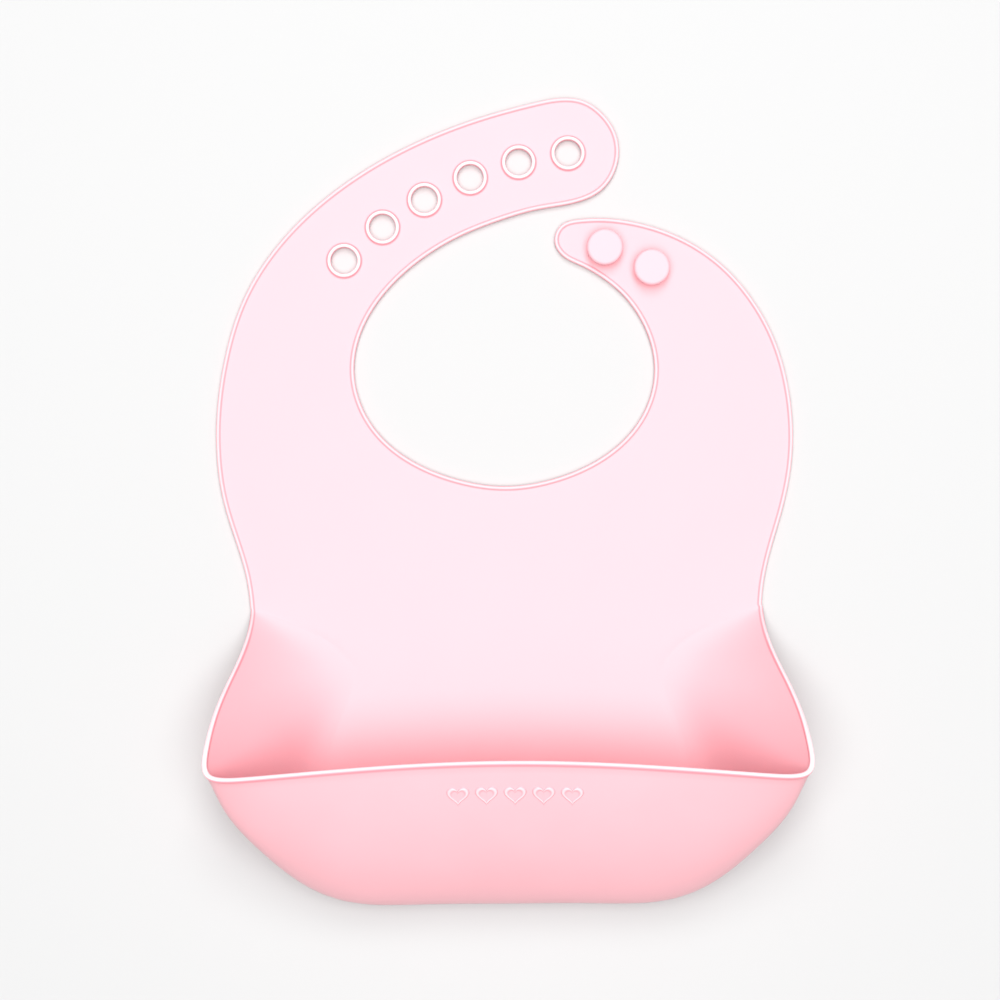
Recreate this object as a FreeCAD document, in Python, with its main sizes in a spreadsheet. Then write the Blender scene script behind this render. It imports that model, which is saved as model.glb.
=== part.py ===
import FreeCAD, Part
import math
import os

# Silicone bib with a scoop pocket. Millimetres. The back face lies on z = 0, the
# front faces +z and the strap end is at +y. Origin: middle of the back's box.

doc = FreeCAD.newDocument("silicone_bib")
V = FreeCAD.Vector
UP = V(0, 0, 1)

SIZES = {
    "sheet_t": 1.8,
    "bead_w": 1.6,
    "bead_h": 2.6,
    "hinge_gap": 0.3,
    "hole_r": 5.05,
    "collar_r": 6.5,
    "collar_h": 3.4,
    "collar_round": 0.6,
    "wall_t": 1.4,
    "rim_r": 1.0,
    "stem_r": 4.3,
    "stem_h": 4.6,
    "head_r": 7.0,
    "head_t": 2.4,
    "head_round": 0.9,
    "holes_r": 145.3,
    "waist_y": -30.0,
}

# The closed edge of the flat sheet, from the left waist over the long strap, round
# the neck opening, and back along the short strap to the right waist.
OUTLINE = [
    (-98.2, -50.0), (-98.6, -41.0), (-100.2, -30.0), (-104.1, -16.6),
    (-108.7, -1.1), (-110.9, 14.3), (-111.0, 30.0), (-107.8, 52.8), (-100.4, 75.8),
    (-85.2, 98.8), (-63.1, 118.7), (-39.9, 132.7), (-9.0, 145.1), (12.0, 150.7), (22.5, 152.4),
    (31.0, 151.2), (38.3, 146.1), (42.8, 139.4), (44.3, 131.5), (42.6, 123.8), (37.5, 116.8),
    (29.3, 112.6), (13.8, 109.7), (-1.6, 105.5), (-17.0, 99.5), (-32.5, 90.3), (-48.0, 75.4),
    (-55.8, 61.2), (-58.0, 48.6), (-55.6, 35.6), (-48.4, 23.5), (-33.1, 11.8), (-17.7, 5.9),
    (0.0, 3.4), (17.5, 5.9), (32.7, 11.8), (47.8, 23.5), (55.0, 35.6), (57.3, 47.7),
    (52.0, 67.4), (44.4, 77.5), (36.7, 83.7), (29.1, 88.0), (22.4, 91.6), (19.2, 97.4),
    (21.8, 103.5), (29.2, 105.8), (36.9, 106.1), (52.3, 104.0), (67.7, 98.5), (83.0, 88.4),
    (93.0, 77.6), (103.6, 59.0), (108.9, 39.5), (110.3, 24.0), (109.5, 10.0), (105.6, -8.0),
    (102.0, -20.0), (98.9, -33.0), (97.9, -42.0), (97.8, -50.0),
]

# The soft fold where the pocket leaves the flat sheet: left half, top to bottom.
CREASE = [
    (-97.0, -42.5), (-84.8, -49.2), (-74.8, -53.5), (-65.8, -59.2), (-59.5, -67.0),
    (-60.0, -76.7), (-64.2, -86.9), (-67.6, -97.5), (-69.2, -108.6), (-69.2, -119.8),
    (-67.1, -131.1), (-58.2, -138.9), (-47.2, -141.6), (-36.1, -142.7), (-25.1, -143.3),
    (-14.0, -143.7),
]
CREASE_MID = (0.0, -143.8)

# Control net of the pocket's outer skin: columns run round the pocket from the left
# waist to the middle of the front, each column from the fold up to the rim.
POCKET = [
    [(-94.6, -44, 0.9), (-95.4, -44, 0.9), (-96.2, -44, 0.9),
     (-97, -44, 0.9), (-97.8, -44, 1), (-98.4, -44, 1.1)],
    [(-74, -51, 0.9), (-77.5, -51, 0.9), (-83.5, -51, 1.2),
     (-91.5, -51, 2.3), (-96.4, -50.8, 3.5), (-98.9, -50.5, 4.4)],
    [(-59, -61, 0.9), (-64, -61, 0.9), (-74, -61, 1.9),
     (-88, -61, 6.2), (-96.8, -60.6, 11.4), (-101.1, -60.3, 14.8)],
    [(-56, -72, 0.9), (-62, -72, 1), (-74, -72, 3.4),
     (-89.3, -72, 12), (-99.8, -71.4, 20.6), (-106, -71, 27)],
    [(-61, -83, 0.9), (-69, -83, 1.1), (-79, -83, 4.8),
     (-93.4, -82.7, 18.4), (-102.8, -82.3, 29.5), (-109.6, -82, 38.5)],
    [(-65.5, -94, 0.9), (-73.5, -94.4, 1.1), (-80, -95, 4),
     (-94.4, -94.5, 22.4), (-104.3, -93.2, 36), (-111.1, -92, 47.3)],
    [(-68, -106, 0.9), (-75, -108, 1.1), (-82.4, -109.9, 5),
     (-97.2, -108.8, 24), (-107.3, -104.4, 39.5), (-112, -100.2, 50)],
    [(-68, -121, 0.9), (-76.5, -126.2, 1.1), (-87.2, -129, 9.6),
     (-102.7, -124.4, 26), (-110.1, -114.8, 40.5), (-106, -103.2, 50.6)],
    [(-66, -135, 0.9), (-72.5, -143, 1), (-80.2, -149.4, 8.5),
     (-89.3, -139.4, 26), (-95.1, -121.6, 41), (-91.5, -101.8, 51)],
    [(-50, -140.5, 0.9), (-53, -149.5, 1), (-59.7, -159.9, 7.5),
     (-62.7, -151.6, 25), (-63, -126.7, 42.3), (-60, -99, 51.6)],
    [(-25, -142, 0.9), (-26, -151, 1), (-29.8, -157.9, 7.5),
     (-31.6, -149.9, 25), (-31.4, -125.5, 42.6), (-30, -97, 52)],
    [(0, -142.5, 0.9), (0, -151.5, 1), (0, -158.5, 7.5),
     (0, -150, 25), (0, -125.1, 42.6), (0, -96.3, 52)],
]

# Long strap: every hole and every bend lies on rays from this centre.
STRAP_CENTRE = V(40.1, -13.4, 0)
HOLE_ANGLES = [134.4, 126.7, 119.1, 111.4, 103.7, 96.1]
BEND_ANGLES = [146.0, 138.2, 122.9, 107.55]

# Short strap: its two bends as (point on the bend, direction of the bend line).
SHORT_BENDS = [(V(70.2, 75.0, 0), 33.9), (V(47.1, 90.5, 0), 66.3)]
STUDS = [V(56.3, 86.7, 0), V(38.4, 94.5, 0)]

# Surface parameters that part the pocket: the side walls run from START_U to SIDE_U.
# The floor and the front wall overlap between WALL_V and FLOOR_V, and the notch that
# lets the front wall fold about KNEE trims both. RIM_V is the middle of the rim.
START_U = 0.012
SIDE_U = 0.355
FLOOR_V = 0.50
WALL_V = 0.40
RIM_V = 0.996
KNEE = V(0, -150.0, 21.0)
FOLD_ANGLE = 26.0


def make_sizes():
    sheet = doc.addObject("Spreadsheet::Sheet", "Sizes")
    for row, (name, value) in enumerate(SIZES.items(), start=1):
        sheet.set("A%d" % row, name)
        sheet.set("B%d" % row, str(value))
        sheet.setAlias("B%d" % row, name)
    doc.recompute()
    return sheet


def bind(obj, **sizes):
    for prop, formula in sizes.items():
        obj.setExpression(prop, formula)
    return obj


def feature(name, shape):
    obj = doc.addObject("Part::Feature", name)
    obj.Shape = shape
    return obj


def spline_edge(points):
    curve = Part.BSplineCurve()
    curve.interpolate([V(x, y, 0) for x, y in points])
    return curve.toShape()


def flat_face(points):
    edge = spline_edge(points)
    close = Part.makeLine(edge.Vertexes[-1].Point, edge.Vertexes[0].Point)
    return Part.Face(Part.Wire([edge, close]))


def polygon_face(corners, z):
    ring = [V(p.x, p.y, z) for p in corners]
    ring.append(ring[0])
    return Part.Face(Part.makePolygon(ring))


def extrude(name, base, **sizes):
    obj = doc.addObject("Part::Extrusion", name)
    obj.Base = base
    obj.DirMode = "Custom"
    obj.Dir = UP
    obj.Solid = True
    obj.LengthFwd = 1.0
    return bind(obj, **sizes)


def region(name, corners, tall=20.0):
    face = feature(name + "_plan", polygon_face(corners, -tall / 2))
    obj = extrude(name, face)
    obj.LengthFwd = tall
    return obj


def cylinder(name, centre, axis=UP, **sizes):
    obj = doc.addObject("Part::Cylinder", name)
    obj.Placement = FreeCAD.Placement(centre, FreeCAD.Rotation(UP, axis))
    return bind(obj, **sizes)


def cut(name, base, tool):
    obj = doc.addObject("Part::Cut", name)
    obj.Base = base
    obj.Tool = tool
    return obj


def common(name, base, tool):
    obj = doc.addObject("Part::Common", name)
    obj.Base = base
    obj.Tool = tool
    return obj


def fuse(name, shapes):
    obj = doc.addObject("Part::MultiFuse", name)
    obj.Shapes = shapes
    return obj


def ray(angle):
    return V(math.cos(math.radians(angle)), math.sin(math.radians(angle)), 0)


def along(angle):
    """Direction down the long strap, from its root to its tip, across a ray."""
    return V(math.sin(math.radians(angle)), -math.cos(math.radians(angle)), 0)


def edges_at(shape, height, radius):
    """Round edges of the given radius at the given height, as 1-based numbers."""
    found = []
    for number, edge in enumerate(shape.Edges, start=1):
        if not isinstance(edge.Curve, Part.Circle):
            continue
        same_z = abs(edge.Curve.Center.z - height) < 1e-4
        if same_z and abs(edge.Curve.Radius - radius) < 1e-4:
            found.append(number)
    return found


def round_edges(name, base, places, radius):
    doc.recompute()
    obj = doc.addObject("Part::Fillet", name)
    obj.Base = base
    picked = []
    for height, edge_radius in places:
        for number in edges_at(base.Shape, height, edge_radius):
            picked.append((number, radius, radius))
    obj.Edges = picked
    return obj


def inner_outline(points, inset):
    """The outline moved in by the bead's width, from points spread along it."""
    curve = spline_edge(points).Curve
    count = 3 * len(points)
    moved = []
    for i in range(count + 1):
        t = curve.FirstParameter + i / count * (
            curve.LastParameter - curve.FirstParameter
        )
        place = curve.value(t)
        along_edge = curve.tangent(t)[0]
        moved.append((place.x + along_edge.y * inset, place.y - along_edge.x * inset))
    return flat_face(moved)


def make_blank():
    """The whole flat sheet with its raised edge bead, straps and all."""
    face = feature("outline", flat_face(OUTLINE))
    slab = extrude("slab", face, LengthFwd="Sizes.bead_h")
    inner = feature("bead_inner", inner_outline(OUTLINE, SIZES["bead_w"]))
    inner.Placement.Base = UP * SIZES["sheet_t"]
    recess = extrude("recess", inner, LengthFwd="Sizes.bead_h")
    return cut("blank", slab, recess)


def hinge_cap(name, point, direction, reach):
    """Round end that lets a link turn about the middle of the bead's height."""
    start = point - direction * reach
    start.z = SIZES["bead_h"] / 2
    cap = cylinder(name, start, direction, Radius="Sizes.bead_h / 2")
    cap.Height = 2 * reach
    return cap


def strap_hinge(angle):
    return STRAP_CENTRE + ray(angle) * SIZES["holes_r"]


def end_gap():
    return SIZES["bead_h"] / 2 + SIZES["hinge_gap"]


def long_strap_corners(first, last, near, far, trim):
    middle = (first + last) / 2
    back = along(last) * trim
    return [
        STRAP_CENTRE + ray(first) * near,
        STRAP_CENTRE + ray(first) * far,
        STRAP_CENTRE + ray(middle) * far,
        STRAP_CENTRE + ray(last) * far - back,
        STRAP_CENTRE + ray(last) * near - back,
        STRAP_CENTRE + ray(middle) * near,
    ]


def make_long_strap(blank):
    """Four links, each with a round hinge end; the holes take the collars."""
    ends = BEND_ANGLES + [80.0]
    near = [104.0, 116.0, 121.5, 121.5]
    holes_in_link = [[], [0, 1], [2, 3], [4, 5]]
    for number in range(4):
        label = "hole_strap_link_%d" % (number + 1)
        first, last = ends[number], ends[number + 1]
        trim = end_gap() if number < 3 else 0.0
        corners = long_strap_corners(first, last, near[number], 185.0, trim)
        body = region(label + "_span", corners)
        cap = hinge_cap(label + "_cap", strap_hinge(first), ray(first), 45.0)
        span = fuse(label + "_reach", [body, cap])
        link = common(label + "_blank", blank, span)
        bores = []
        for hole in holes_in_link[number]:
            centre = strap_hinge(HOLE_ANGLES[hole])
            name = "%s_bore_%d" % (label, hole + 1)
            bore = cylinder(name, centre - UP, Radius="Sizes.collar_r")
            bore.Height = 10.0
            bores.append(bore)
        if bores:
            tools = fuse(label + "_bores", bores)
            link = cut(label, link, tools)
        link.Label = label
        NODES.append(link)


def make_collars():
    for number, angle in enumerate(HOLE_ANGLES, start=1):
        label = "hole_collar_%d" % number
        centre = strap_hinge(angle)
        outer = cylinder(label + "_outer", centre, Radius="Sizes.collar_r")
        bind(outer, Height="Sizes.collar_h")
        inner = cylinder(label + "_inner", centre - UP, Radius="Sizes.hole_r")
        inner.Height = 10.0
        ring = cut(label + "_ring", outer, inner)
        top = SIZES["collar_h"]
        places = [(top, SIZES["collar_r"]), (top, SIZES["hole_r"])]
        collar = round_edges(label, ring, places, SIZES["collar_round"])
        collar.Label = label
        NODES.append(collar)


def short_strap_corners(number, trim):
    """Plan of one link of the short strap, from its bend to the next one."""
    point, angle = SHORT_BENDS[number]
    line = ray(angle)
    if number == 0:
        next_point, next_angle = SHORT_BENDS[1]
        next_line = ray(next_angle)
        toward = V(-next_line.y, next_line.x, 0)
        edge = next_point - toward * trim
        return [
            point - line * 24,
            point + line * 24,
            edge + next_line * 22,
            edge - next_line * 14,
        ]
    return [
        point - line * 14,
        point + line * 17,
        V(37.0, 108.4, 0),
        V(14.0, 108.0, 0),
        V(14.0, 88.0, 0),
        V(28.0, 83.0, 0),
    ]


def make_short_strap(blank):
    for number in range(2):
        label = "button_strap_link_%d" % (number + 1)
        trim = end_gap() if number == 0 else 0.0
        body = region(label + "_span", short_strap_corners(number, trim))
        point, angle = SHORT_BENDS[number]
        reach = 24.0 if number == 0 else 13.5
        cap = hinge_cap(label + "_cap", point, ray(angle), reach)
        span = fuse(label + "_reach", [body, cap])
        link = common(label, blank, span)
        link.Label = label
        NODES.append(link)


def make_studs():
    for number, centre in enumerate(STUDS, start=1):
        label = "button_stud_%d" % number
        foot = V(centre.x, centre.y, SIZES["sheet_t"])
        stem = cylinder(label + "_stem", foot, Radius="Sizes.stem_r")
        bind(stem, Height="Sizes.stem_h")
        seat = foot + UP * (SIZES["stem_h"] - 0.6)
        head = cylinder(label + "_head", seat, Radius="Sizes.head_r")
        bind(head, Height="Sizes.head_t")
        whole = fuse(label + "_whole", [stem, head])
        top = seat.z + SIZES["head_t"]
        places = [(top, SIZES["head_r"]), (seat.z, SIZES["head_r"])]
        stud = round_edges(label, whole, places, SIZES["head_round"])
        stud.Label = label
        NODES.append(stud)


def make_chest(blank):
    gap = end_gap()
    bend = BEND_ANGLES[0]
    back = along(bend) * gap
    corners = [
        STRAP_CENTRE + ray(bend) * 104 - back,
        STRAP_CENTRE + ray(bend) * 185 - back,
        STRAP_CENTRE + ray(113.0) * 195,
        STRAP_CENTRE + ray(80.0) * 185,
        STRAP_CENTRE + ray(80.0) * 121.5,
        STRAP_CENTRE + ray(93.0) * 121.5,
        STRAP_CENTRE + ray(107.0) * 121.5,
        STRAP_CENTRE + ray(122.0) * 110,
    ]
    long_part = region("long_strap_off", corners)
    point, angle = SHORT_BENDS[0]
    line = ray(angle)
    toward = V(-line.y, line.x, 0)
    edge = point - toward * gap
    short_part = region("short_strap_off", [
        edge - line * 24,
        edge + line * 26,
        V(80.0, 108.0, 0),
        V(45.0, 109.0, 0),
        V(14.0, 108.0, 0),
        V(14.0, 86.0, 0),
        V(36.0, 70.0, 0),
    ])
    waist = SIZES["waist_y"] + gap
    waist_part = region("waist_off", [
        V(-120, waist, 0), V(120, waist, 0), V(120, -60, 0), V(-120, -60, 0),
    ])
    off = fuse("chest_off", [long_part, short_part, waist_part])
    chest = cut("chest_panel", blank, off)
    chest.Label = "chest_panel"
    NODES.append(chest)


def crease_points():
    left = CREASE
    right = [(-x, y) for x, y in reversed(left)]
    return left + [CREASE_MID] + right


def make_lower(blank):
    """The flat panel below the waist fold; the pocket stands round its edge."""
    waist = SIZES["waist_y"]
    top = region("waist_span", [
        V(-120, waist, 0), V(120, waist, 0), V(120, -44, 0), V(-120, -44, 0),
    ])
    cap = hinge_cap("waist_cap", V(0, waist, 0), V(1, 0, 0), 120.0)
    reach = fuse("waist_reach", [top, cap])
    upper = common("lower_upper", blank, reach)
    floor_face = feature("back_plan", flat_face(crease_points()))
    floor_part = extrude("back_part", floor_face, LengthFwd="Sizes.sheet_t")
    lower = fuse("lower_panel", [upper, floor_part])
    lower.Label = "lower_panel"
    NODES.append(lower)
    return floor_part


def full_net():
    left = [[V(*p) for p in column] for column in POCKET]
    right = [[V(-p.x, p.y, p.z) for p in column] for column in reversed(left[:-1])]
    return left + right


def clamped(count, degree=3):
    """Even knots and their multiplicities for a curve with clamped ends."""
    inner = count - degree
    knots = [i / inner for i in range(inner + 1)]
    mults = [degree + 1] + [1] * (inner - 1) + [degree + 1]
    return knots, mults


def skin(net):
    knots_u, mults_u = clamped(len(net))
    knots_v, mults_v = clamped(len(net[0]))
    surface = Part.BSplineSurface()
    surface.buildFromPolesMultsKnots(
        net, mults_u, mults_v, knots_u, knots_v, False, False, 3, 3
    )
    return surface


def greville(count, degree=3):
    knots, mults = clamped(count, degree)
    flat = []
    for knot, times in zip(knots, mults):
        flat.extend([knot] * times)
    return [sum(flat[i + 1:i + 1 + degree]) / degree for i in range(count)]


def inward_net(net, surface, distance):
    """The same net moved to the inside of the pocket by a wall thickness."""
    us = greville(len(net))
    vs = greville(len(net[0]))
    side = -1 if surface.normal(0.5, 0.5).y < 0 else 1
    moved = []
    for i, column in enumerate(net):
        out = []
        for j, pole in enumerate(column):
            u = min(max(us[i], 1e-4), 1 - 1e-4)
            v = min(max(vs[j], 1e-4), 1 - 1e-4)
            out.append(pole + surface.normal(u, v) * side * distance)
        moved.append(out)
    return moved


def patch_face(net, span):
    surface = skin(net)
    surface.segment(*span)
    return surface.toShape()


def side_face(outer, inner, across_u, at, first, last):
    """Flat-ruled side of a wall patch, between matching edges of the two skins."""
    rows = []
    for surface in (outer, inner):
        curve = surface.uIso(at) if across_u else surface.vIso(at)
        curve.segment(first, last)
        rows.append(curve)
    ruled = Part.BSplineSurface()
    ruled.buildFromPolesMultsKnots(
        [curve.getPoles() for curve in rows],
        [2, 2], rows[0].getMultiplicities(), [0.0, 1.0], rows[0].getKnots(),
        False, False, 1, 3,
    )
    return ruled.toShape()


def wall_patch(outer_net, inner_net, span):
    """Solid between the outer and inner skins over one patch of the pocket."""
    u0, u1, v0, v1 = span
    outer = skin(outer_net)
    inner = skin(inner_net)
    faces = [patch_face(outer_net, span), patch_face(inner_net, span)]
    for at in (v0, v1):
        faces.append(side_face(outer, inner, False, at, u0, u1))
    for at in (u0, u1):
        faces.append(side_face(outer, inner, True, at, v0, v1))
    shell = Part.makeShell(faces)
    shell.sewShape()
    solid = Part.makeSolid(shell)
    if solid.Volume < 0:
        solid.reverse()
    return solid


def fold_notch(name, corners):
    """Tool across the whole front, from its corners given as (y, z)."""
    ring = [V(-120, y, z) for y, z in corners]
    ring.append(ring[0])
    face = Part.Face(Part.makePolygon(ring))
    return feature(name, face.extrude(V(240, 0, 0)))


def knee_tools():
    """What the notch takes off the floor, and what it takes off the front wall."""
    half_gap = SIZES["hinge_gap"] / 2
    y, z = KNEE.y, KNEE.z
    rise = 28 * math.tan(math.radians(FOLD_ANGLE))
    above = [
        (y - 10, z - half_gap), (y + 40, z - half_gap), (y + 40, 60), (y - 10, 60),
    ]
    below = [
        (y - 10, 0), (y + 28, 0), (y + 28, z + rise), (y, z + half_gap),
        (y - 10, z + half_gap),
    ]
    return {
        "pocket_floor": fold_notch("floor_notch", above),
        "pocket_front_wall": fold_notch("wall_notch", below),
    }


def rim_tube(middle_net, u0, u1, radius):
    surface = skin(middle_net)
    edge = Part.Edge(surface.vIso(RIM_V), u0, u1)
    start = edge.valueAt(edge.FirstParameter)
    tangent = edge.tangentAt(edge.FirstParameter)
    ring = Part.Wire([Part.Edge(Part.Circle(start, tangent, radius))])
    return Part.Wire([edge]).makePipeShell([ring], True, False)


def mirrored(name, base):
    obj = doc.addObject("Part::Mirroring", name)
    obj.Source = base
    obj.Normal = V(1, 0, 0)
    obj.Label = name
    return obj


def make_pocket(floor_part):
    outer = full_net()
    surface = skin(outer)
    inner = inward_net(outer, surface, SIZES["wall_t"])
    middle = inward_net(outer, surface, SIZES["wall_t"] / 2)
    walls = {
        "pocket_side_left": (START_U, SIDE_U, 0.0, RIM_V),
        "pocket_floor": (SIDE_U, 1 - SIDE_U, 0.0, FLOOR_V),
        "pocket_front_wall": (SIDE_U, 1 - SIDE_U, WALL_V, RIM_V),
    }
    rims = {
        "pocket_rim_left": (0.0, SIDE_U),
        "pocket_rim_front": (SIDE_U, 1 - SIDE_U),
    }
    below = doc.addObject("Part::Box", "below_table")
    below.Length = 300
    below.Width = 300
    below.Height = 20
    below.Placement.Base = V(-150, -200, -20)
    tubes = {}
    for label, (u0, u1) in rims.items():
        tube = rim_tube(middle, u0, u1, SIZES["rim_r"])
        tubes[label] = feature(label + "_tube", tube)
        tools = [floor_part, below, doc.getObject("lower_upper")]
        off = fuse(label + "_off", tools)
        node = cut(label, tubes[label], off)
        node.Label = label
        NODES.append(node)
    notches = knee_tools()
    tube_right = mirrored("rim_right_tube", tubes["pocket_rim_left"])
    for label, span in walls.items():
        wall = feature(label + "_skin", wall_patch(outer, inner, span))
        tools = [floor_part, below]
        if label in notches:
            tools.append(notches[label])
        node = cut(label + "_clear", wall, fuse(label + "_off", tools))
        if label != "pocket_floor":
            rims = fuse(label + "_rims", list(tubes.values()) + [tube_right])
            node = cut(label, node, rims)
        node.Label = label
        NODES.append(node)
    for part in ("side", "rim"):
        left = doc.getObject("pocket_%s_left" % part)
        NODES.append(mirrored("pocket_%s_right" % part, left))


def report_bad():
    bad = [o.Name for o in doc.Objects if "Invalid" in o.State or "Error" in o.State]
    for node in NODES:
        if node.Shape.isNull() or not node.Shape.isValid():
            bad.append(node.Label)
    return bad


def write_parts():
    os.makedirs("parts", exist_ok=True)
    for node in NODES:
        node.Shape.exportStep("parts/%s.step" % node.Label)
        box = node.Shape.optimalBoundingBox(False)
        print(
            "%-22s solids %d volume %9.1f  x %7.1f %7.1f  y %7.1f %7.1f  z %5.1f %5.1f"
            % (node.Label, len(node.Shape.Solids), node.Shape.Volume,
               box.XMin, box.XMax, box.YMin, box.YMax, box.ZMin, box.ZMax)
        )


NODES = []
make_sizes()
blank_sheet = make_blank()
make_chest(blank_sheet)
make_long_strap(blank_sheet)
make_collars()
make_short_strap(blank_sheet)
make_studs()
back = make_lower(blank_sheet)
make_pocket(back)
doc.recompute()
problems = report_bad()
if problems:
    print("PROBLEMS", problems)
write_parts()
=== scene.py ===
import math

import bmesh
import bpy
import numpy as np
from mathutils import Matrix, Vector
from mathutils.geometry import delaunay_2d_cdt


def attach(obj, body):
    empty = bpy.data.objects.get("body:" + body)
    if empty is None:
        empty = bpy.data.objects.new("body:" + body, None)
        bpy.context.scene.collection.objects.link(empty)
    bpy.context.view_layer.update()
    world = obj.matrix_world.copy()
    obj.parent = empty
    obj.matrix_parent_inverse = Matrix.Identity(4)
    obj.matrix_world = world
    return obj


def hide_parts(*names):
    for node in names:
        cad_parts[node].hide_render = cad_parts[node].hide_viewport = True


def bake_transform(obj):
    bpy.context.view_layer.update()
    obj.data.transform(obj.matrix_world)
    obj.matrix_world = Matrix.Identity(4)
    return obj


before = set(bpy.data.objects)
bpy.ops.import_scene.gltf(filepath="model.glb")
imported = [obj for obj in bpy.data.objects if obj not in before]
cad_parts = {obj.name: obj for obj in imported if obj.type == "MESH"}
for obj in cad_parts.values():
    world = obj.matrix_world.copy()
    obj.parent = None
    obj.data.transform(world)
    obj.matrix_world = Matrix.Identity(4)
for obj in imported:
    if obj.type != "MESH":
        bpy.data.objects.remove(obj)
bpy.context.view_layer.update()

# Lengths below are in millimetres in the row frame; MM turns them into metres.
MM = 0.001

SHEET_T = 1.8
EDGE_INSET = 2.7
WALL_HALF = 0.7
STRAP_CENTRE = (40.1, -13.4)
HOLES_R = 145.3
HOLE_ANGLES = [134.4, 126.7, 119.1, 111.4, 103.7, 96.1]
BEND_ANGLES = [146.0, 138.2, 122.9, 107.55]
STUDS = [(56.3, 86.7), (38.4, 94.5)]

# The closed edge of the flat sheet, from the left waist over the long strap, round
# the neck opening, and back along the short strap to the right waist.
OUTLINE = [
    (-98.2, -50.0), (-98.6, -41.0), (-100.2, -30.0), (-104.1, -16.6), (-108.7, -1.1),
    (-110.9, 14.3), (-111.0, 30.0), (-107.8, 52.8), (-100.4, 75.8), (-85.2, 98.8),
    (-63.1, 118.7), (-39.9, 132.7), (-9.0, 145.1), (12.0, 150.7), (22.5, 152.4),
    (31.0, 151.2), (38.3, 146.1), (42.8, 139.4), (44.3, 131.5), (42.6, 123.8),
    (37.5, 116.8), (29.3, 112.6), (13.8, 109.7), (-1.6, 105.5), (-17.0, 99.5),
    (-32.5, 90.3), (-48.0, 75.4), (-55.8, 61.2), (-58.0, 48.6), (-55.6, 35.6),
    (-48.4, 23.5), (-33.1, 11.8), (-17.7, 5.9), (0.0, 3.4), (17.5, 5.9),
    (32.7, 11.8), (47.8, 23.5), (55.0, 35.6), (57.3, 47.7), (52.0, 67.4),
    (44.4, 77.5), (36.7, 83.7), (29.1, 88.0), (22.4, 91.6), (19.2, 97.4),
    (21.8, 103.5), (29.2, 105.8), (36.9, 106.1), (52.3, 104.0), (67.7, 98.5),
    (83.0, 88.4), (93.0, 77.6), (103.6, 59.0), (108.9, 39.5), (110.3, 24.0),
    (109.5, 10.0), (105.6, -8.0), (102.0, -20.0), (98.9, -33.0), (97.9, -42.0),
    (97.8, -50.0),
]

# Control net of the pocket's skin: columns run round the pocket from the left waist
# to the middle of the front, each column from the fold up to the rim.
POCKET = [
    [(-94.6, -44, 0.9), (-95.4, -44, 0.9), (-96.2, -44, 0.9),
     (-97, -44, 0.9), (-97.8, -44, 1), (-98.4, -44, 1.1)],
    [(-74, -51, 0.9), (-77.5, -51, 0.9), (-83.5, -51, 1.2),
     (-91.5, -51, 2.3), (-96.4, -50.8, 3.5), (-98.9, -50.5, 4.4)],
    [(-59, -61, 0.9), (-64, -61, 0.9), (-74, -61, 1.9),
     (-88, -61, 6.2), (-96.8, -60.6, 11.4), (-101.1, -60.3, 14.8)],
    [(-56, -72, 0.9), (-62, -72, 1), (-74, -72, 3.4),
     (-89.3, -72, 12), (-99.8, -71.4, 20.6), (-106, -71, 27)],
    [(-61, -83, 0.9), (-69, -83, 1.1), (-79, -83, 4.8),
     (-93.4, -82.7, 18.4), (-102.8, -82.3, 29.5), (-109.6, -82, 38.5)],
    [(-65.5, -94, 0.9), (-73.5, -94.4, 1.1), (-80, -95, 4),
     (-94.4, -94.5, 22.4), (-104.3, -93.2, 36), (-111.1, -92, 47.3)],
    [(-68, -106, 0.9), (-75, -108, 1.1), (-82.4, -109.9, 5),
     (-97.2, -108.8, 24), (-107.3, -104.4, 39.5), (-112, -100.2, 50)],
    [(-68, -121, 0.9), (-76.5, -126.2, 1.1), (-87.2, -129, 9.6),
     (-102.7, -124.4, 26), (-110.1, -114.8, 40.5), (-106, -103.2, 50.6)],
    [(-66, -135, 0.9), (-72.5, -143, 1), (-80.2, -149.4, 8.5),
     (-89.3, -139.4, 26), (-95.1, -121.6, 41), (-91.5, -101.8, 51)],
    [(-50, -140.5, 0.9), (-53, -149.5, 1), (-59.7, -159.9, 7.5),
     (-62.7, -151.6, 25), (-63, -126.7, 42.3), (-60, -99, 51.6)],
    [(-25, -142, 0.9), (-26, -151, 1), (-29.8, -157.9, 7.5),
     (-31.6, -149.9, 25), (-31.4, -125.5, 42.6), (-30, -97, 52)],
    [(0, -142.5, 0.9), (0, -151.5, 1), (0, -158.5, 7.5),
     (0, -150, 25), (0, -125.1, 42.6), (0, -96.3, 52)],
]
POCKET_TOP_Y = -44.0


# ---------------------------------------------------------------- curves

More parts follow.
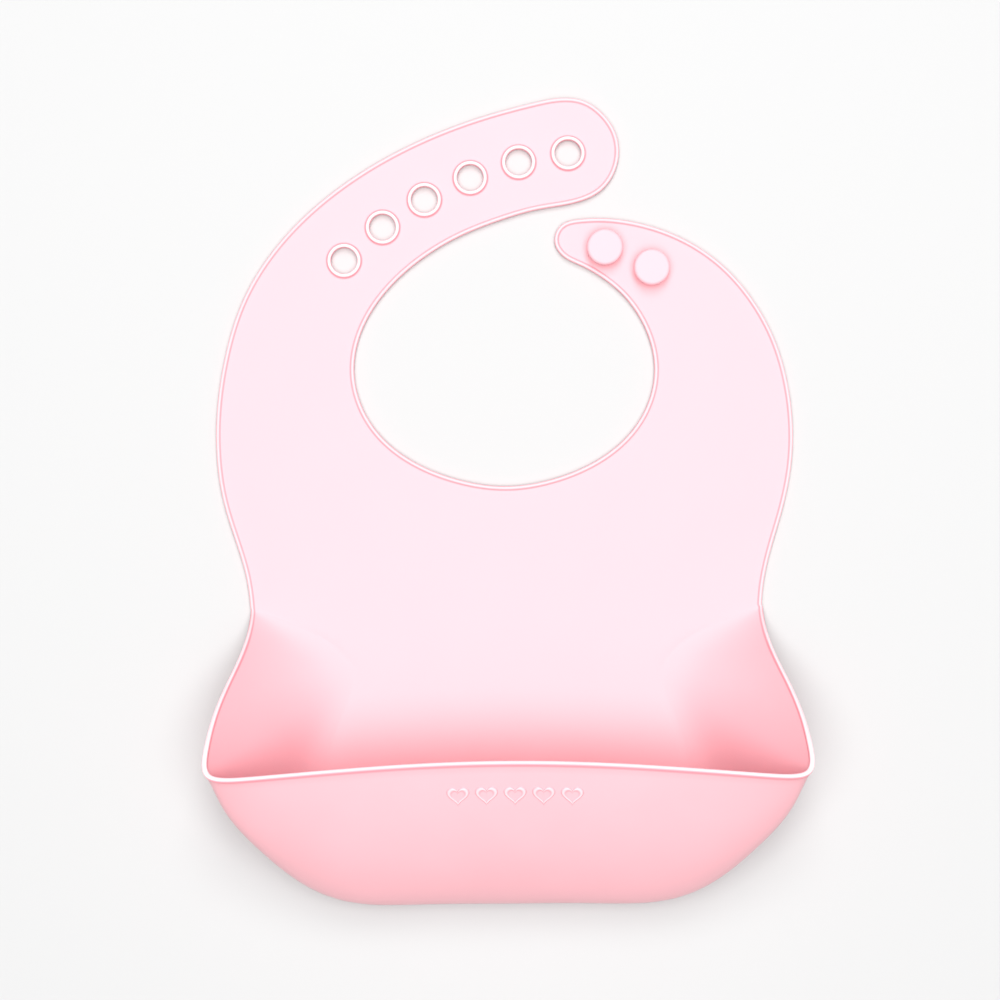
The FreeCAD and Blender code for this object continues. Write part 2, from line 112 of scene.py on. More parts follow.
class Spline:
    """A smooth curve through a list of plane points."""

    def __init__(self, points):
        self.p = np.array(points, float)
        gaps = np.linalg.norm(np.diff(self.p, axis=0), axis=1)
        self.t = np.concatenate([[0.0], np.cumsum(gaps)])
        self.m = self._second()
        fine = np.linspace(0.0, self.t[-1], 12001)
        self.fine_t = fine
        self.fine_p = self.at(fine)
        steps = np.linalg.norm(np.diff(self.fine_p, axis=0), axis=1)
        self.length = np.concatenate([[0.0], np.cumsum(steps)])

    def _second(self):
        n = len(self.t)
        h = np.diff(self.t)
        a = np.zeros((n, n))
        b = np.zeros((n, 2))
        a[0, 0] = a[-1, -1] = 1.0
        for i in range(1, n - 1):
            a[i, i - 1] = h[i - 1]
            a[i, i] = 2 * (h[i - 1] + h[i])
            a[i, i + 1] = h[i]
            rise = (self.p[i + 1] - self.p[i]) / h[i]
            b[i] = 6 * (rise - (self.p[i] - self.p[i - 1]) / h[i - 1])
        return np.linalg.solve(a, b)

    def at(self, t):
        t = np.atleast_1d(np.asarray(t, float))
        i = np.clip(np.searchsorted(self.t, t, side="right") - 1, 0, len(self.t) - 2)
        h = (self.t[i + 1] - self.t[i])[:, None]
        lo = (t - self.t[i])[:, None]
        hi = h - lo
        a, b = self.m[i], self.m[i + 1]
        return (
            a * hi**3 / (6 * h) + b * lo**3 / (6 * h)
            + (self.p[i] / h - a * h / 6) * hi + (self.p[i + 1] / h - b * h / 6) * lo
        )

    def near(self, point):
        """Distance along the curve of the place nearest to a point."""
        gap = np.linalg.norm(self.fine_p - np.array(point, float), axis=1)
        return self.length[int(np.argmin(gap))]

    def stretch(self, first, last, step):
        """Points and outward normals at even steps along part of the curve."""
        count = max(3, int(round(abs(last - first) / step)) + 1)
        place = np.linspace(first, last, count)
        t = np.interp(place, self.length, self.fine_t)
        eps = 0.05
        ahead = self.at(np.minimum(t + eps, self.t[-1]))
        behind = self.at(np.maximum(t - eps, 0.0))
        tangent = ahead - behind
        tangent /= np.linalg.norm(tangent, axis=1)[:, None]
        return self.at(t), np.stack([-tangent[:, 1], tangent[:, 0]], axis=1)


EDGE = Spline(OUTLINE)


def clamped_knots(count, degree):
    return np.concatenate([
        np.zeros(degree), np.linspace(0, 1, count - degree + 1), np.ones(degree)
    ])


def basis(count, degree, u):
    """Clamped B-spline weights of every control point at each value of u."""
    knots = clamped_knots(count, degree)
    u = np.clip(u, 0, 1 - 1e-12)
    n = np.stack([(u >= knots[i]) & (u < knots[i + 1])
                  for i in range(len(knots) - 1)], axis=1).astype(float)
    for d in range(1, degree + 1):
        m = np.zeros((len(u), len(knots) - 1 - d))
        for i in range(m.shape[1]):
            left = knots[i + d] - knots[i]
            right = knots[i + d + 1] - knots[i + 1]
            if left > 0:
                m[:, i] += (u - knots[i]) / left * n[:, i]
            if right > 0:
                m[:, i] += (knots[i + d + 1] - u) / right * n[:, i + 1]
        n = m
    return n


def full_net():
    left = np.array(POCKET, float)
    right = left[:-1][::-1] * np.array([-1.0, 1.0, 1.0])
    return np.concatenate([left, right])


def on_net(net, us, vs):
    return np.einsum("ac,bd,cdk->abk", basis(len(net), 3, us),
                     basis(net.shape[1], 3, vs), net)


def greville(count, degree=3):
    """The curve's own place of each control point."""
    knots = clamped_knots(count, degree)
    return np.array([knots[i + 1:i + 1 + degree].mean() for i in range(count)])


def unit(v):
    return v / np.maximum(np.linalg.norm(v, axis=-1, keepdims=True), 1e-9)


def net_frame(net, us, vs):
    """Points, side tangents (fold to rim) and inward normals on the net."""
    eps = 1e-4
    u0, u1 = np.maximum(us - eps, 0), np.minimum(us + eps, 1)
    v0, v1 = np.maximum(vs - eps, 0), np.minimum(vs + eps, 1)
    du = on_net(net, u1, vs) - on_net(net, u0, vs)
    dv = on_net(net, us, v1) - on_net(net, us, v0)
    normal = unit(np.cross(unit(dv), unit(du)))
    middle = normal[len(us) // 2, len(vs) // 2]
    if middle[1] < 0:
        normal = -normal
    return on_net(net, us, vs), unit(dv), normal


def middle_net():
    """The pocket's skin moved in by half the wall, as the fold stays put."""
    net = full_net()
    us, vs = greville(len(net)), greville(net.shape[1])
    normal = net_frame(net, us, vs)[2]
    share = np.array([0.0, 0.5, 1.0, 1.0, 1.0, 1.0])
    fade = np.clip((POCKET_TOP_Y - net[:, :, 1]) / 12.0, 0, 1)
    return net + normal * (share[None, :] * fade * WALL_HALF)[:, :, None]


# ---------------------------------------------------------------- mesh helpers

class Builder:
    """Collects vertices and faces in millimetres."""

    def __init__(self):
        self.v = []
        self.painted_light = []
        self.f = []
        self.caps = []

    def add(self, points):
        """Adds points given as (x, y, z) or (x, y, z, painted light), the painted light being
        a painted highlight above 0 and painted shade below 0.
        """
        first = len(self.v)
        self.v.extend([tuple(float(c) for c in p[:3]) for p in points])
        self.painted_light.extend([float(p[3]) if len(p) > 3 else 0.0 for p in points])
        return list(range(first, len(self.v)))

    def grid(self, rows, flip=False, closed=False):
        n = len(rows)
        for i in range(n if closed else n - 1):
            a, b = rows[i], rows[(i + 1) % n]
            for k in range(len(a) - 1):
                quad = [a[k], b[k], b[k + 1], a[k + 1]]
                self.f.append(quad[::-1] if flip else quad)

    def close(self, row, top, back, next_row):
        """Closes the hollow end of a piece at a seam with flat faces."""
        self.strip(row)
        self.strip(next_row[::-1])
        front = [row[0]] + top + [next_row[0]]
        behind = [row[-1]] + back + [next_row[-1]]
        for k in range(len(front) - 1):
            self.caps.append([front[k], front[k + 1], behind[k + 1], behind[k]])

    def strip(self, row):
        n = len(row)
        for k in range(n // 2 - (1 - n % 2)):
            quad = [row[k], row[n - 1 - k], row[n - 2 - k], row[k + 1]]
            self.caps.append(quad if len(set(quad)) == 4 else quad[:3])

    def make(self, name):
        mesh = bpy.data.meshes.new(name)
        faces = self.f + self.caps
        mesh.from_pydata([(x * MM, y * MM, z * MM) for x, y, z in self.v], [], faces)
        # Per-point painted light: painted highlight on crests, painted shade in grooves,
        # hollows and under the stud heads.
        painted_light = mesh.attributes.new("painted_light", "FLOAT", "POINT")
        painted_light.data.foreach_set("value", np.array(self.painted_light, np.float32))
        bm = bmesh.new()
        bm.from_mesh(mesh)
        bm.faces.ensure_lookup_table()
        for face in bm.faces:
            face.smooth = face.index < len(self.f)
        bmesh.ops.remove_doubles(bm, verts=bm.verts, dist=1e-7)
        bmesh.ops.dissolve_degenerate(bm, dist=1e-8, edges=bm.edges)
        bmesh.ops.recalc_face_normals(bm, faces=bm.faces)
        for edge in bm.edges:
            edge.smooth = len({face.smooth for face in edge.link_faces}) == 1
        bm.to_mesh(mesh)
        bm.free()
        obj = bpy.data.objects.new(name, mesh)
        bpy.context.scene.collection.objects.link(obj)
        rest = mesh.attributes.new("rest", "FLOAT_VECTOR", "POINT")
        co = np.zeros(len(mesh.vertices) * 3, np.float32)
        mesh.vertices.foreach_get("co", co)
        rest.data.foreach_set("vector", co)
        return obj


def inside(points, ring):
    """Which plane points lie inside a closed ring."""
    x, y = points[:, 0], points[:, 1]
    found = np.zeros(len(points), bool)
    a, b = ring, np.roll(ring, -1, axis=0)
    for (x0, y0), (x1, y1) in zip(a, b):
        if y0 == y1:
            continue
        cross = (y0 > y) != (y1 > y)
        found ^= cross & (x < (x1 - x0) * (y - y0) / (y1 - y0) + x0)
    return found


def clearance(points, ring):
    """Distance of each plane point from a closed ring."""
    a = np.asarray(ring, float)
    side = np.roll(a, -1, axis=0) - a
    square = np.maximum((side**2).sum(1), 1e-12)
    offset = points[:, None, :] - a[None, :, :]
    share = np.clip((offset * side).sum(-1) / square, 0, 1)
    gap = offset - share[..., None] * side
    return np.sqrt((gap**2).sum(-1).min(1))


def fill(ring, holes, step):
    """Triangles over a ring with round holes. Returns plane points, where the first
    ones are the ring and the holes in order, and triangles of their numbers."""
    low, high = ring.min(0), ring.max(0)
    xs = np.arange(low[0], high[0] + step, step)
    ys = np.arange(low[1], high[1] + step, step * 0.866)
    gx, gy = np.meshgrid(xs, ys)
    gx = gx + (np.arange(len(ys)) % 2)[:, None] * step / 2
    points = np.stack([gx.ravel(), gy.ravel()], axis=1)
    points = points[inside(points, ring)]
    points = points[clearance(points, ring) > step * 0.55]
    for hole in holes:
        middle, radius = hole.mean(0), np.hypot(*(hole[0] - hole.mean(0)))
        away = np.hypot(points[:, 0] - middle[0], points[:, 1] - middle[1])
        points = points[away > radius + step * 0.35]
    loops = [ring] + list(holes)
    fixed = np.concatenate(loops)
    edges = []
    first = 0
    for loop in loops:
        n = len(loop)
        edges.extend((first + i, first + (i + 1) % n) for i in range(n))
        first += n
    everything = np.concatenate([fixed, points]) if len(points) else fixed
    out, _, tris, origin, _, _ = delaunay_2d_cdt(
        [Vector(p) for p in everything], edges, [], 0, 1e-6
    )
    number = {}
    for i, source in enumerate(origin):
        number[i] = source[0] if source else None
    kept = []
    flat = np.array([[o.x, o.y] for o in out])
    middles = flat[np.array(tris)].mean(1)
    wanted = inside(middles, ring)
    for hole in holes:
        wanted &= ~inside(middles, hole)
    for tri, keep in zip(tris, wanted):
        ids = [number[i] for i in tri]
        if None in ids or not keep:
            continue
        a, b, c = (everything[i] for i in ids)
        turn = (b[0] - a[0]) * (c[1] - a[1]) - (b[1] - a[1]) * (c[0] - a[0])
        if abs(turn) < 1e-3:
            continue
        kept.append(ids if turn > 0 else ids[::-1])
    return everything, kept


# ---------------------------------------------------------------- edge bead

# Cross-sections of the edge as (distance in from the edge, height over the middle of
# the sheet, painted light), from the front face round the outside to the back face. The
# painted light is 1 on the crest, a painted highlight, and -1 in the groove beside it,
# painted shade; the flat edge's outer side also gets painted shade.
FLAT_EDGE = np.array([
    (2.10, 0.90, 0.0), (1.84, 0.91, -0.1), (1.64, 0.98, -0.25), (1.50, 1.14, -0.2),
    (1.38, 1.36, -0.1), (1.22, 1.54, 0.1), (1.00, 1.65, 0.3), (0.76, 1.69, 0.4),
    (0.52, 1.67, 0.4), (0.32, 1.58, 0.3), (0.16, 1.42, 0.0), (0.06, 1.18, -0.2),
    (0.01, 0.88, -0.4), (0.00, 0.50, -0.5), (0.00, 0.05, -0.5), (0.00, -0.35, -0.6),
    (0.04, -0.60, -0.6), (0.13, -0.78, -0.5), (0.28, -0.87, -0.3), (0.55, -0.90, -0.1),
    (0.90, -0.90, 0.0),
])
RIM_EDGE = np.array([
    (2.50, 0.70, 0.0), (2.15, 0.71, -0.4), (1.88, 0.76, -0.9), (1.66, 0.86, -1.0),
    (1.42, 0.95, -1.0), (1.18, 0.99, -0.5), (0.94, 0.99, 0.2), (0.70, 0.95, 0.8),
    (0.47, 0.85, 1.0), (0.27, 0.68, 1.0), (0.11, 0.43, 1.0), (0.00, 0.00, 1.0),
    (0.11, -0.43, 1.0), (0.27, -0.68, 0.9), (0.47, -0.85, 0.4), (0.70, -0.95, -0.2),
    (0.94, -0.99, -0.7), (1.18, -0.99, -1.0), (1.42, -0.95, -1.0), (1.78, -0.80, -0.6),
    (2.30, -0.70, -0.1),
])


def flat_columns(points, normals):
    """Edge columns for a stretch of the flat sheet, front face to back face."""
    rows = []
    for p, n in zip(points, normals):
        column = [(*(p - n * EDGE_INSET), SHEET_T, 0.0)]
        for inset, up, painted_light in FLAT_EDGE:
            xy = p - n * inset
            column.append((xy[0], xy[1], max(0.0, SHEET_T / 2 + up), painted_light))
        column.append((*(p - n * EDGE_INSET), 0.0, 0.0))
        rows.append(column)
    return rows


def hole_ring(centre, radius, count=56):
    turn = np.linspace(0, 2 * math.pi, count, endpoint=False)
    return np.stack([centre[0] + radius * np.cos(turn),
                     centre[1] + radius * np.sin(turn)], axis=1)


# A hole's collar as (radius, height, painted light): painted highlight on the crest, painted
# shade in the groove round it and down the hole's wall.
COLLAR = [
    (7.3, 1.8, 0.0), (7.05, 1.82, -0.3), (6.8, 1.9, -0.6), (6.62, 2.1, -0.6),
    (6.53, 2.5, -0.2), (6.45, 2.9, 0.2), (6.3, 3.18, 0.8), (6.08, 3.34, 1.0),
    (5.8, 3.4, 1.0), (5.52, 3.37, 1.0), (5.27, 3.24, 0.8), (5.12, 3.0, 0.2),
    (5.05, 2.6, -0.6), (5.05, 1.9, -0.8), (5.05, 1.2, -0.8), (5.05, 0.5, -0.8),
    (5.12, 0.2, -0.6), (5.3, 0.04, -0.3), (5.6, 0.0, 0.0), (7.3, 0.0, 0.0),
]


def add_collar(builder, centre, count=56):
    """A raised ring round a hole; returns its front and back outer loops."""
    rows = []
    for i in range(count):
        a = 2 * math.pi * i / count
        rows.append(builder.add([
            (centre[0] + r * math.cos(a), centre[1] + r * math.sin(a), z, painted_light)
            for r, z, painted_light in COLLAR
        ]))
    builder.grid(rows, closed=True)
    return [row[0] for row in rows], [row[-1] for row in rows]


def flat_piece(name, runs, holes=(), step=3.2):
    """A piece of the flat sheet. runs are stretches of the edge, in order, each as
    (first, last) along the outline; straight cuts join each run to the next."""
    b = Builder()
    ring, top_ids, back_ids, cuts_made, ends = [], [], [], [], []
    columns = [flat_columns(*EDGE.stretch(first, last, 1.9)) for first, last in runs]
    for i, run in enumerate(columns):
        rows = [b.add(column) for column in run]
        b.grid(rows)
        ring.extend([column[0][:2] for column in run])
        top_ids.extend([row[0] for row in rows])
        back_ids.extend([row[-1] for row in rows])
        start = np.array(run[-1][0][:2])
        end = np.array(columns[(i + 1) % len(columns)][0][0][:2])
        cuts = max(2, int(np.linalg.norm(end - start) / 3.0))
        along = [start + (end - start) * k / cuts for k in range(1, cuts)]
        ring.extend([tuple(p) for p in along])
        top_cut = b.add([(p[0], p[1], SHEET_T) for p in along])
        back_cut = b.add([(p[0], p[1], 0.0) for p in along])
        top_ids.extend(top_cut)
        back_ids.extend(back_cut)
        cuts_made.append((rows[-1], top_cut, back_cut, i))
        ends.append((rows[0], rows[-1]))
    loops = []
    for centre in holes:
        loops.append(hole_ring(centre, COLLAR[0][0]))
        top, back = add_collar(b, centre)
        top_ids.extend(top)
        back_ids.extend(back)
    ring = np.array(ring)
    points, tris = fill(ring, loops, step)
    extra = points[len(top_ids):]
    top_ids.extend(b.add([(x, y, SHEET_T) for x, y in extra]))
    back_ids.extend(b.add([(x, y, 0.0) for x, y in extra]))
    for tri in tris:
        b.f.append([top_ids[i] for i in tri])
        b.f.append([back_ids[i] for i in tri][::-1])
    for row, top, back, i in cuts_made:
        b.close(row, top, back, ends[(i + 1) % len(ends)][0])
    return b.make(name)


def strap_point(angle, radius=HOLES_R):
    a = math.radians(angle)
    return (STRAP_CENTRE[0] + radius * math.cos(a),
            STRAP_CENTRE[1] + radius * math.sin(a))


def cut_at(inner, outer):
    """Where a straight cut between two edge places meets the outline."""
    return EDGE.near(inner), EDGE.near(outer)


# ---------------------------------------------------------------- pocket

def pocket_piece(name, first_left, last_right):
    b = Builder()
    net = middle_net()
    count_s, count_t = 300, 40
    s = np.linspace(0, 1, count_s)
    t = np.linspace(0, 1, 161)
    place, side, normal = net_frame(net, s, t)

    def flat_station(p, n):
        """A column of the flat edge with as many points as a wall column."""
        inner = p - n * EDGE_INSET
        foot = p - n * FLAT_EDGE[0][0]
        steps = [inner + (foot - inner) * k / count_t for k in range(count_t)]
        column = [(*q, SHEET_T) for q in steps]
        for inset, up, painted_light in FLAT_EDGE:
            xy = p - n * inset
            column.append((xy[0], xy[1], max(0.0, SHEET_T / 2 + up), painted_light))
        column.extend((*q, 0.0) for q in steps[::-1])
        return column

    def wall_station(i):
        m, d, n = place[i], side[i], normal[i]
        run = np.concatenate([[0.0], np.cumsum(np.linalg.norm(np.diff(m, axis=0), axis=1))])
        blend = min(1.0, max(0.0, (POCKET_TOP_Y - 1.0 - m[-1][1]) / 16.0))
        blend = blend * blend * (3 - 2 * blend)
        shape = FLAT_EDGE * (1 - blend) + RIM_EDGE * blend
        half_t = SHEET_T / 2 * (1 - blend) + WALL_HALF * blend
        foot = max(0.05, run[-1] - shape[0][0])
        stops = foot * np.linspace(0, 1, count_t + 1)[:count_t]

        def pick(values, x):
            return np.array([np.interp(x, run, values[:, k]) for k in range(3)])

        def upright(x):
            """The wall's normal, which starts upright at the fold."""
            ease = min(1.0, x / 3.0)
            ease = ease * ease * (3 - 2 * ease)
            return unit(np.array([0.0, 0.0, 1.0]) * (1 - ease) + unit(pick(n, x)) * ease)

        front, back = [], []
        for x in stops:
            q, nn = pick(m, x), upright(x)
            front.append(tuple(q + nn * half_t))
            back.append(tuple(q - nn * half_t))
        front[0] = (m[0][0], m[0][1], SHEET_T)
        back[0] = (m[0][0], m[0][1], 0.0)
        column = list(front)
        for inset, up, painted_light in shape:
            x = max(0.0, run[-1] - inset)
            column.append((*(pick(m, x) + upright(x) * up), painted_light))
        column.extend(back[::-1])
        return [(q[0], q[1], max(0.0, q[2]), *q[3:]) for q in column]

    left_p, left_n = EDGE.stretch(first_left, EDGE.near((-98.4, POCKET_TOP_Y)), 1.3)
    right_p, right_n = EDGE.stretch(EDGE.near((98.4, POCKET_TOP_Y)), last_right, 1.3)
    columns = [flat_station(p, n) for p, n in zip(left_p[:-1], left_n[:-1])]
    columns += [wall_station(i) for i in range(count_s)]
    columns += [flat_station(p, n) for p, n in zip(right_p[1:], right_n[1:])]
    rows = [b.add(column) for column in columns]
    b.grid(rows, flip=True)
    ring = [column[0][:2] for column in columns]
    top_ids = [row[0] for row in rows]
    back_ids = [row[-1] for row in rows]
    start, end = np.array(ring[-1]), np.array(ring[0])
    cuts = int(np.linalg.norm(end - start) / 3.0)
    along = [start + (end - start) * k / cuts for k in range(1, cuts)]
    ring.extend([tuple(p) for p in along])
    top_cut = b.add([(p[0], p[1], SHEET_T) for p in along])
    back_cut = b.add([(p[0], p[1], 0.0) for p in along])
    top_ids.extend(top_cut)
    back_ids.extend(back_cut)
    points, tris = fill(np.array(ring), [], 3.2)
    extra = points[len(top_ids):]
    top_ids.extend(b.add([(x, y, SHEET_T) for x, y in extra]))
    back_ids.extend(b.add([(x, y, 0.0) for x, y in extra]))
    for tri in tris:
        b.f.append([top_ids[i] for i in tri])
        b.f.append([back_ids[i] for i in tri][::-1])
    b.close(rows[-1], top_cut, back_cut, rows[0])
    return b.make(name)


# ---------------------------------------------------------------- studs

def lathe(name, centre, profile, base_z, count=72):
    """A closed turned piece, from (radius, height, painted light) up its outside."""
    b = Builder()
    rows = []
    for i in range(count):
        a = 2 * math.pi * i / count
        rows.append(b.add([
            (centre[0] + r * math.cos(a), centre[1] + r * math.sin(a), base_z + z, painted_light)
            for r, z, painted_light in profile
        ]))
    b.grid(rows, closed=True)
    low = b.add([(centre[0], centre[1], base_z + profile[0][1])])[0]
    top = b.add([(centre[0], centre[1], base_z + profile[-1][1], profile[-1][2])])[0]
    for a, c in zip(rows, rows[1:] + rows[:1]):
        b.f.append([low, c[0], a[0]])
        b.f.append([top, a[-1], c[-1]])
    return b.make(name)


def rounded(points, radius, steps=5):
    """A profile with each inner corner rounded."""
    out = [points[0]]
    for a, p, c in zip(points, points[1:], points[2:]):
        a, p, c = (np.array(q, float) for q in (a, p, c))
        r = min(radius, 0.45 * np.linalg.norm(a - p), 0.45 * np.linalg.norm(c - p))
        start, end = p + unit(a - p) * r, p + unit(c - p) * r
        for k in range(steps + 1):
            s = k / steps
            out.append(tuple((1 - s) ** 2 * start + 2 * s * (1 - s) * p + s * s * end))
    out.append(points[-1])
    return out


# The stud as (radius, height, painted light): painted shade round its foot, up its stem and
# under its head.
STUD = rounded([
    (5.6, -0.35, 0.0), (5.0, 0.05, -0.6), (4.3, 0.7, -0.7), (4.2, 3.8, -0.7),
    (6.7, 4.05, -0.5), (7.0, 4.7, -0.2), (6.85, 5.95, 0.0), (6.2, 6.4, 0.0),
    (3.5, 6.42, 0.0), (1.2, 6.42, 0.0),
], 0.5)


# ---------------------------------------------------------------- hearts

def heart_outline(width, count=44):
    """A plain heart, as plane points round its middle."""
    turn = np.linspace(0, 2 * math.pi, count, endpoint=False)
    across = 16 * np.sin(turn) ** 3
    along = 13 * np.cos(turn) - 5 * np.cos(2 * turn) - 2 * np.cos(3 * turn) - np.cos(4 * turn)
    return np.stack([across, along + 2.0], axis=1) * width / 32.0


# Relief of one heart as (share of its outline, height over the wall, painted light): painted
# highlight along its raised edge, painted shade at its foot and at the step inside the edge.
HEART_RELIEF = [
    (1.08, -0.30, 0.0), (1.06, 0.02, -0.4), (1.00, 0.12, -0.2), (0.96, 0.36, 0.2),
    (0.90, 0.46, 0.5), (0.78, 0.46, 0.5), (0.70, 0.34, 0.0), (0.64, 0.20, -0.4),
    (0.50, 0.18, 0.0), (0.25, 0.18, 0.0),
]


def hearts_piece(name, count=5, width=8.0, pitch=10.4, rise=13.5):
    """A row of raised hearts that lie on the outside of the front wall."""
    b = Builder()
    net = middle_net()
    us = np.linspace(0.40, 0.60, 241)
    vs = np.linspace(0.55, 1.0, 181)
    place, _, normal = net_frame(net, us, vs)
    outline = heart_outline(width)
    middle_run = np.linalg.norm(np.diff(place[120], axis=0), axis=1)
    down = np.concatenate([[0.0], np.cumsum(middle_run[::-1])])

    def on_wall(x, fall, height):
        """A point over the wall's outside, by its x and its fall below the rim."""
        row = (len(vs) - 1) - np.interp(fall, down, np.arange(len(down)))
        j = int(min(max(row, 0), len(vs) - 2))
        share = row - j
        line = place[:, j] * (1 - share) + place[:, j + 1] * share
        face = normal[:, j] * (1 - share) + normal[:, j + 1] * share
        q = np.array([np.interp(x, line[:, 0], line[:, k]) for k in range(3)])
        n = unit(np.array([np.interp(x, line[:, 0], face[:, k]) for k in range(3)]))
        return q - n * (WALL_HALF + height)

    for i in range(count):
        centre = (i - (count - 1) / 2) * pitch + 2.4
        rows = []
        for share, height, painted_light in HEART_RELIEF:
            rows.append(b.add([
                (*on_wall(centre + x * share, rise - y * share, height), painted_light)
                for x, y in outline
            ]))
        for low, high in zip(rows, rows[1:]):
            n = len(low)
            for k in range(n):
                b.f.append([low[k], low[(k + 1) % n], high[(k + 1) % n], high[k]])
        for ring, height in ((rows[-1], HEART_RELIEF[-1][1]), (rows[0], HEART_RELIEF[0][1])):
            hub = b.add([on_wall(centre, rise, height)])[0]
            n = len(ring)
            for k in range(n):
                b.f.append([ring[k], ring[(k + 1) % n], hub])
    return b.make(name)


# ---------------------------------------------------------------- materials

def silicone(name, colour):
    """Moulded silicone: a painted highlight on crests and painted shade in grooves, a faint
    uneven bloom, satin gloss and a fine texture. The noise follows the shape at rest."""
    mat = bpy.data.materials.new(name)
    mat.use_nodes = True
    nodes, links = mat.node_tree.nodes, mat.node_tree.links
    nodes.clear()

    def add(kind, **values):
        node = nodes.new(kind)
        for key, value in values.items():
            node.inputs[key.replace("_", " ")].default_value = value
        return node

    def attribute(which):
        node = nodes.new("ShaderNodeAttribute")
        node.attribute_name = which
        return node

    out = nodes.new("ShaderNodeOutputMaterial")
    shader = add("ShaderNodeBsdfPrincipled", IOR=1.41, Sheen_Weight=0.06,
                 Sheen_Roughness=0.5)
    links.new(shader.outputs["BSDF"], out.inputs["Surface"])
    rest, painted_light = attribute("rest"), attribute("painted_light")

    # Painted light picks the colour: -1 gives a deeper pink (painted shade), +1 a paler pink
    # (painted highlight) and 0 the plain pink.
    painted_light_span = add("ShaderNodeMapRange", From_Min=-1.0, From_Max=1.0)
    links.new(painted_light.outputs["Fac"], painted_light_span.inputs["Value"])
    painted_light_ramp = nodes.new("ShaderNodeValToRGB")
    stops = painted_light_ramp.color_ramp.elements
    stops[0].position, stops[1].position = 0.0, 1.0
    stops.new(0.5).color = (*colour, 1)
    stops[0].color = (colour[0], colour[1] * 0.66, colour[2] * 0.71, 1)
    stops[2].color = (colour[0] + 0.12, colour[1] + 0.25, colour[2] + 0.24, 1)
    links.new(painted_light_span.outputs["Result"], painted_light_ramp.inputs["Fac"])

    bloom = add("ShaderNodeTexNoise", Scale=38.0, Detail=3.0)
    links.new(rest.outputs["Vector"], bloom.inputs["Vector"])
    shade = add("ShaderNodeMapRange", From_Min=0.3, From_Max=0.7, To_Min=0.985, To_Max=1.01)
    links.new(bloom.outputs["Fac"], shade.inputs["Value"])
    tinted = nodes.new("ShaderNodeVectorMath")
    tinted.operation = "SCALE"
    links.new(painted_light_ramp.outputs["Color"], tinted.inputs[0])
    links.new(shade.outputs["Result"], tinted.inputs["Scale"])
    links.new(tinted.outputs["Vector"], shader.inputs["Base Color"])

    gloss = add("ShaderNodeMapRange", From_Min=0.3, From_Max=0.7, To_Min=0.36, To_Max=0.44)
    links.new(bloom.outputs["Fac"], gloss.inputs["Value"])
    links.new(gloss.outputs["Result"], shader.inputs["Roughness"])

    grain = add("ShaderNodeTexNoise", Scale=2600.0, Detail=2.0)
    links.new(rest.outputs["Vector"], grain.inputs["Vector"])
    bump = add("ShaderNodeBump", Strength=0.05, Distance=0.0001)
    links.new(grain.outputs["Fac"], bump.inputs["Height"])
    links.new(bump.outputs["Normal"], shader.inputs["Normal"])
    return mat


def floor_material():
    mat = bpy.data.materials.new("floor_white")
    mat.use_nodes = True
    nodes, links = mat.node_tree.nodes, mat.node_tree.links
    shader = nodes["Principled BSDF"]
    shader.inputs["Base Color"].default_value = (0.585, 0.585, 0.585, 1)
    shader.inputs["Roughness"].default_value = 0.9
    shader.inputs["Specular IOR Level"].default_value = 0.1
    return mat


# ---------------------------------------------------------------- build

PINK = (0.87, 0.445, 0.49)
bib = silicone("silicone_pink", PINK)
# The studs take a paler copy of the same pink: a painted highlight on the raised studs.
stud_highlight_mat = silicone("silicone_stud_painted_highlight", (0.87, 0.465, 0.515))

waist_left = EDGE.near((-98.7, -40.0))
waist_right = EDGE.near((98.1, -40.0))
root_in, root_out = cut_at(strap_point(150.0, 117.0), strap_point(150.0, 166.0))
s1_in, s1_out = cut_at(strap_point(142.1, 121.5), strap_point(142.1, 167.0))
s2_in, s2_out = cut_at(strap_point(130.55, 125.5), strap_point(130.55, 167.0))
s3_in, s3_out = cut_at(strap_point(115.25, 126.2), strap_point(115.25, 166.0))
b0_in, b0_out = cut_at((57.5, 55.5), (95.5, 74.5))
t1_in, t1_out = cut_at((48.2, 72.4), (66.0, 99.2))
holes = [strap_point(a) for a in HOLE_ANGLES]


def finish_piece(obj, material, nodes):
    obj.data.materials.append(material)
    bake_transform(obj)
    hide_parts(*nodes)
    return obj


chest = flat_piece("chest_sheet", [(waist_left, root_out), (root_in, b0_in),
                                   (b0_out, waist_right)])
finish_piece(chest, bib,
             ["chest_panel"])

strap_runs = [
    ("long_strap_root", [(root_out, s1_out), (s1_in, root_in)], [], BEND_ANGLES[0], 7.5,
     "chest", "hole_strap_1", ["hole_strap_link_1"]),
    ("long_strap_lower", [(s1_out, s2_out), (s2_in, s1_in)], holes[:1],
     BEND_ANGLES[1], 7.5,
     "hole_strap_1", "hole_strap_2", ["hole_strap_link_2", "hole_collar_1"]),
    ("long_strap_middle", [(s2_out, s3_out), (s3_in, s2_in)], holes[1:3],
     BEND_ANGLES[2], 15.0,
     "hole_strap_2", "hole_strap_3",
     ["hole_strap_link_3", "hole_collar_2", "hole_collar_3"]),
    ("long_strap_tip", [(s3_out, s3_in)], holes[3:], BEND_ANGLES[3], 15.0,
     "hole_strap_3", "hole_strap_4",
     ["hole_strap_link_4", "hole_collar_4", "hole_collar_5", "hole_collar_6"]),
]
for name, runs, found, angle, half, a, b, nodes in strap_runs:
    piece = flat_piece(name, runs, found, step=2.6)
    finish_piece(piece, bib, nodes)

short_runs = [
    ("short_strap_root", [(b0_in, t1_in), (t1_out, b0_out)], (70.2, 75.0), 33.9,
     "chest", "button_strap_1", "button_strap_link_1"),
    ("short_strap_tip", [(t1_in, t1_out)], (47.1, 90.5), 66.3,
     "button_strap_1", "button_strap_2", "button_strap_link_2"),
]
for name, runs, bend, angle, a, b, node in short_runs:
    piece = flat_piece(name, runs, step=2.6)
    finish_piece(piece, bib, [node])

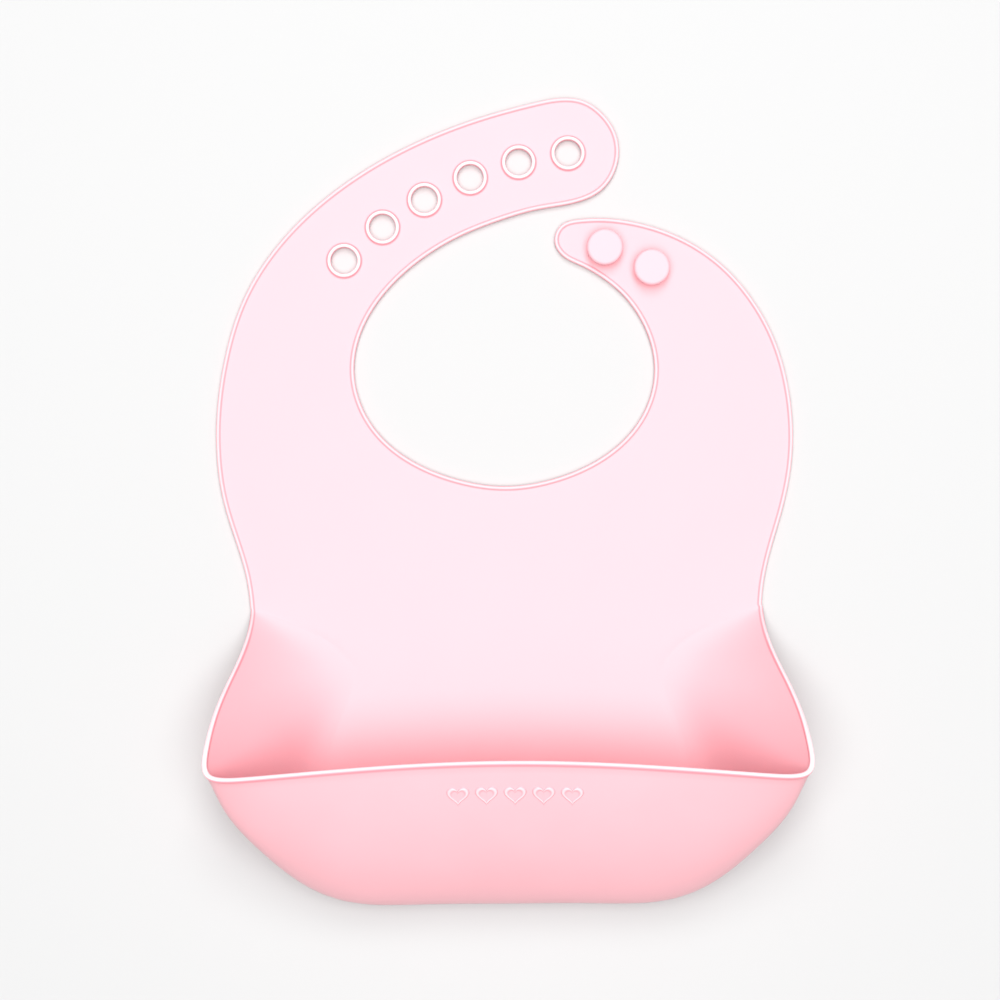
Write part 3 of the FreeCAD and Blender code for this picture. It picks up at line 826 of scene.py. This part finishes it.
for number, (centre, body) in enumerate(
    zip(STUDS, ["button_strap_1", "button_strap_2"]), start=1
):
    stud = lathe("stud_%d" % number, centre, STUD, SHEET_T)
    stud.data.materials.append(stud_highlight_mat)
    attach(stud, body)
    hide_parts("button_stud_%d" % number)

pocket = pocket_piece("pocket_scoop", waist_left, waist_right)
finish_piece(pocket, bib,
             ["lower_panel", "pocket_floor", "pocket_side_left", "pocket_side_right",
              "pocket_rim_left", "pocket_rim_right", "pocket_front_wall",
              "pocket_rim_front"])

hearts = hearts_piece("pocket_hearts")
hearts.data.materials.append(bib)
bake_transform(hearts)

# ---------------------------------------------------------------- stage

mesh = bpy.data.meshes.new("floor")
half, drop = 3.0, -0.0002
mesh.from_pydata([(-half, -half, drop), (half, -half, drop), (half, half, drop),
                  (-half, half, drop)], [], [(0, 1, 2, 3)])
floor = bpy.data.objects.new("floor", mesh)
bpy.context.scene.collection.objects.link(floor)
mesh.materials.append(floor_material())


def area_light(name, where, target, size, power):
    data = bpy.data.lights.new(name, "AREA")
    data.shape = "DISK"
    data.size = size
    data.energy = power
    obj = bpy.data.objects.new(name, data)
    bpy.context.scene.collection.objects.link(obj)
    obj.location = where
    obj.rotation_euler = (Vector(target) - Vector(where)).to_track_quat("-Z", "Y").to_euler()
    return obj


area_light("overhead", (0.0, -0.05, 1.9), (0, 0, 0), 1.8, 46.0)
area_light("key", (0.05, 0.8, 1.2), (0, 0, 0), 0.6, 7.2)
area_light("fill", (0.0, -0.8, 1.2), (0, 0, 0), 0.6, 1.0)

world = bpy.data.worlds.new("studio")
bpy.context.scene.world = world
world.use_nodes = True
world.node_tree.nodes["Background"].inputs["Color"].default_value = (1, 1, 1, 1)
world.node_tree.nodes["Background"].inputs["Strength"].default_value = 0.27

scene = bpy.context.scene
scene.view_settings.view_transform = "Standard"

camera_data = bpy.data.cameras.new("camera")
camera_data.lens = 79.5
camera_data.sensor_width = 36.0
camera_data.clip_end = 20.0
camera = bpy.data.objects.new("camera", camera_data)
scene.collection.objects.link(camera)
camera.location = (-0.00235, -0.00188, 0.85)
camera.rotation_euler = (0, 0, math.radians(-0.4))
scene.camera = camera
